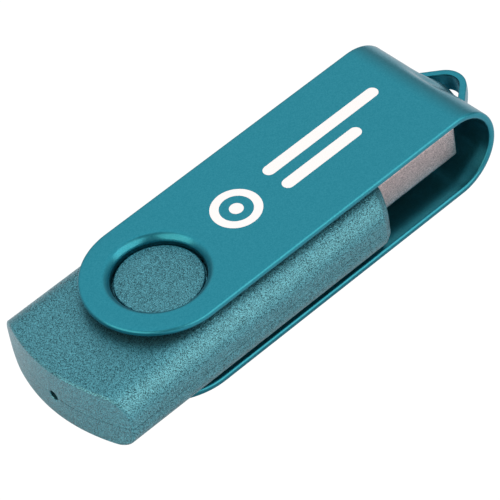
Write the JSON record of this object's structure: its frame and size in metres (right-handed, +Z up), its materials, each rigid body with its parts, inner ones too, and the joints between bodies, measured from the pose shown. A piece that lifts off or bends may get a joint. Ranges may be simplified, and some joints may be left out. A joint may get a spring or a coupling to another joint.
{
  "type": "usb flash drive",
  "caption": "Slim memory stick with a rounded two-shell case, a USB-A plug and a U-shaped sheet metal cover that swivels about a round hub and carries a key-ring loop.",
  "frame": {"origin": "centre of the overall box, at the underside of the cover's lower arm, with the cover folded over the plug", "axes": "+X from the case's rear end towards the plug and the key-ring loop, +Y across the case, +Z up along the hub's axis"},
  "size_m": [0.0608, 0.02, 0.0111],
  "materials": {
    "case_paint": "satin metallic teal paint with a fine sparkle",
    "cover_anodised": "satin anodised teal, light machined edges",
    "plug_steel": "plain rolled steel, satin",
    "plug_insulator": "moulded, matte",
    "contact_gold": "gold plated spring metal, polished",
    "board_green": "green solder mask over glass fibre, satin",
    "chip_black": "moulded epoxy with tinned leads, matte",
    "crystal_can": "plated can, satin",
    "light_clear": "clear lens, glossy",
    "resistor_black": "glazed black with tinned ends",
    "capacitor_tan": "fired ceramic with tinned ends"
  },
  "bodies": {
    "drive": {"upper_case": "case_paint", "lower_case": "case_paint", "plug_shell": "plug_steel", "plug_insulator": "plug_insulator", "contact_supply": "contact_gold", "contact_data_minus": "contact_gold", "contact_data_plus": "contact_gold", "contact_ground": "contact_gold", "circuit_board": "board_green", "flash_memory": "chip_black", "controller": "chip_black", "crystal": "crystal_can", "status_light": "light_clear", "resistor_light": "resistor_black", "resistor_data_minus": "resistor_black", "resistor_data_plus": "resistor_black", "capacitor_supply": "capacitor_tan", "capacitor_crystal_left": "capacitor_tan", "capacitor_crystal_right": "capacitor_tan", "capacitor_controller": "capacitor_tan", "capacitor_flash_front": "capacitor_tan", "capacitor_flash_rear": "capacitor_tan"},
    "cover": {"swivel_cover": "cover_anodised"}
  },
  "joints": [
    {"name": "cover_swivel", "type": "hinge", "parent": "drive", "child": "cover", "pos_m": [-0.01455, 0, 0.00557], "axis": [0, 0, 1], "continuous": true}
  ]
}
